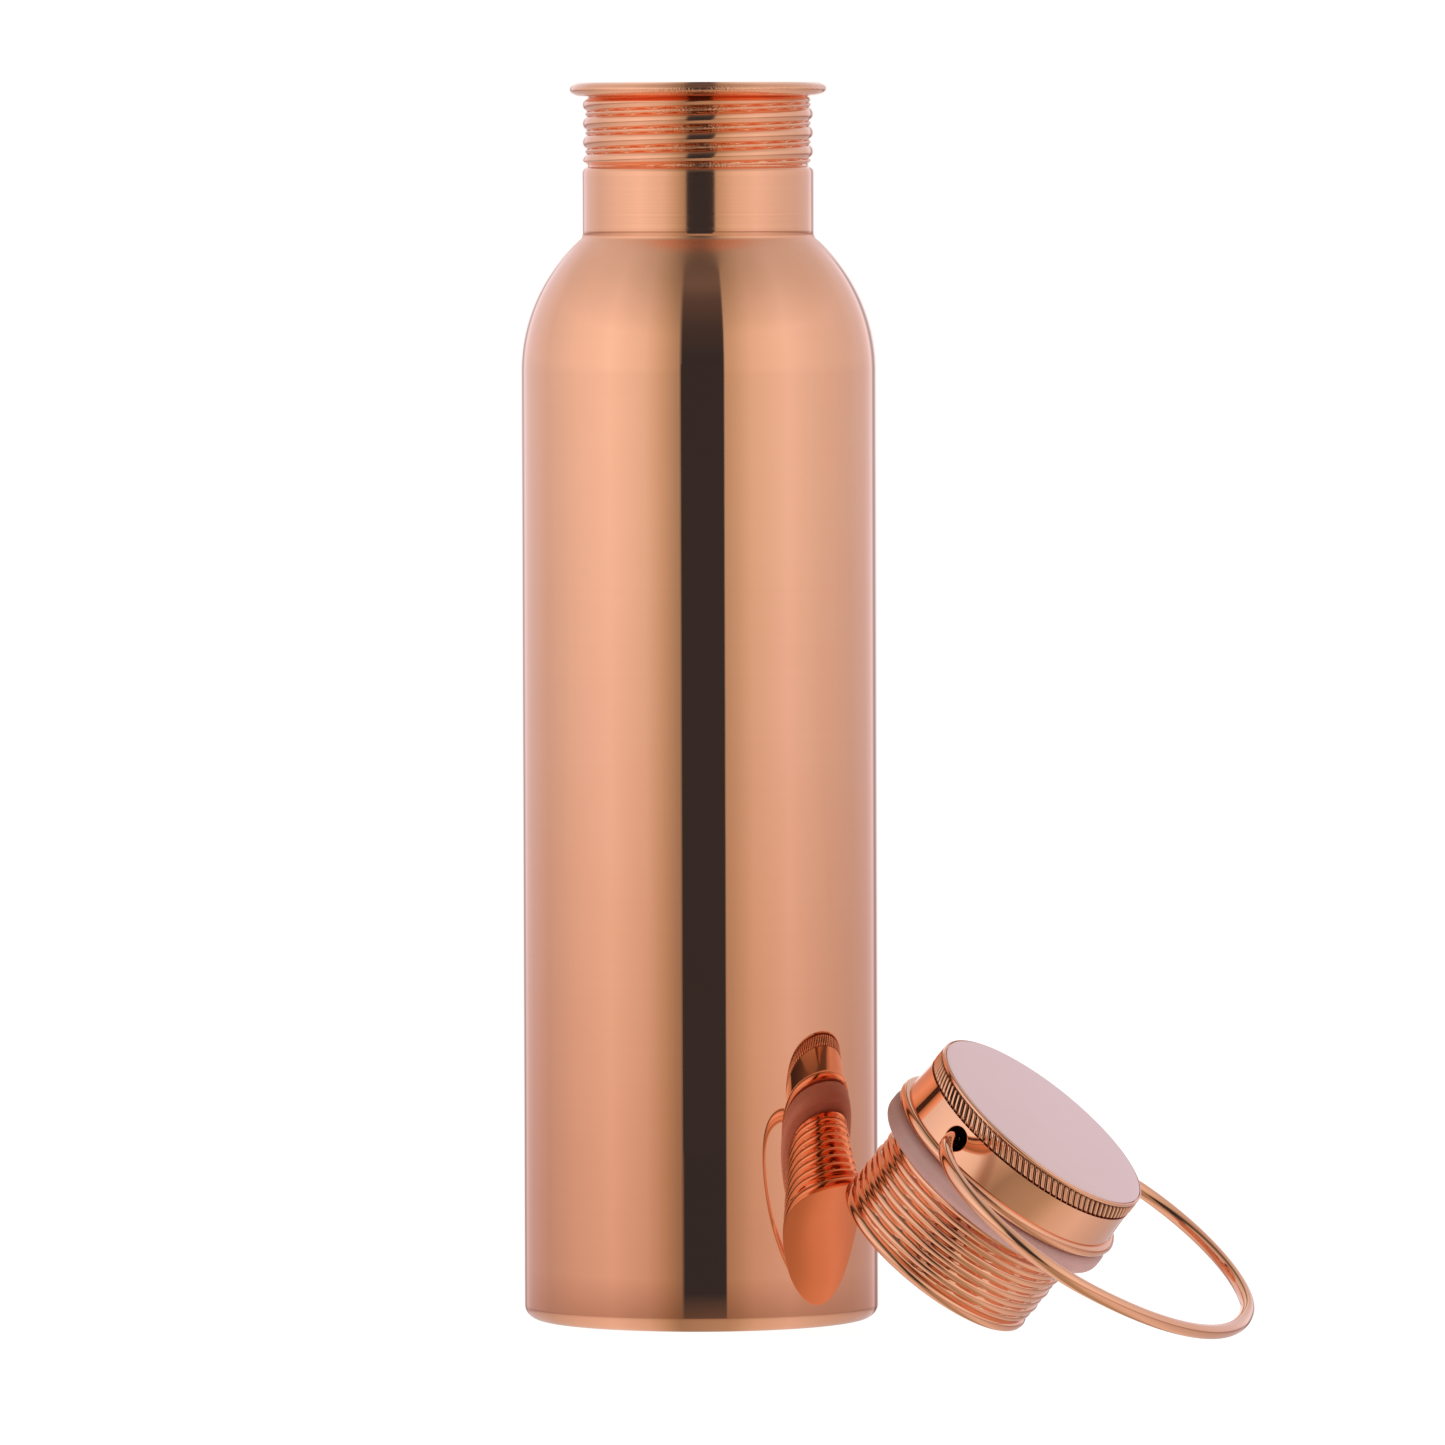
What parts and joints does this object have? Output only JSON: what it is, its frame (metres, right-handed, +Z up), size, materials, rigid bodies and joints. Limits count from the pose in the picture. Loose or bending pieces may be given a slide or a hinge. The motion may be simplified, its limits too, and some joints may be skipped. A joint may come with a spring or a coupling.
{
  "type": "water bottle",
  "caption": "Slim copper water bottle, standing open, with its screw cap and wire carrying bail lying beside it.",
  "frame": {"origin": "centre of the bottle's base, on the surface that it stands on", "axes": "+Z up along the bottle's axis to its mouth, +X to the right and +Y to the back as seen from the front, with the cap lying to the right and a little in front"},
  "size_m": [0.1492, 0.1252, 0.254],
  "materials": {
    "polished_copper": "mirror-polished copper, a light pinkish copper colour",
    "brushed_copper": "copper with fine turning lines round it and rolled threads",
    "satin_copper": "pale satin copper, almost matt",
    "seal": "smooth mauve-grey silicone, slightly clear"
  },
  "bodies": {
    "bottle": {"body_shell": "polished_copper", "base_disc": "polished_copper", "neck_collar": "brushed_copper"},
    "cap": {"cap_shell": "polished_copper", "cap_disc": "satin_copper", "threaded_plug": "brushed_copper", "seal_ring": "seal"},
    "bail": {"bail_handle": "polished_copper"}
  },
  "joints": [
    {"name": "cap_lift", "type": "slide", "parent": "bottle", "child": "cap", "axis": [0.5975, -0.2512, 0.7615], "range_m": [0, 0.12]},
    {"name": "bail_swing", "type": "hinge", "parent": "cap", "child": "bail", "pos_m": [0.06504, -0.0344, 0.0371], "axis": [-0.5407, -0.8275, 0.1513], "range_deg": [0, 140]}
  ]
}
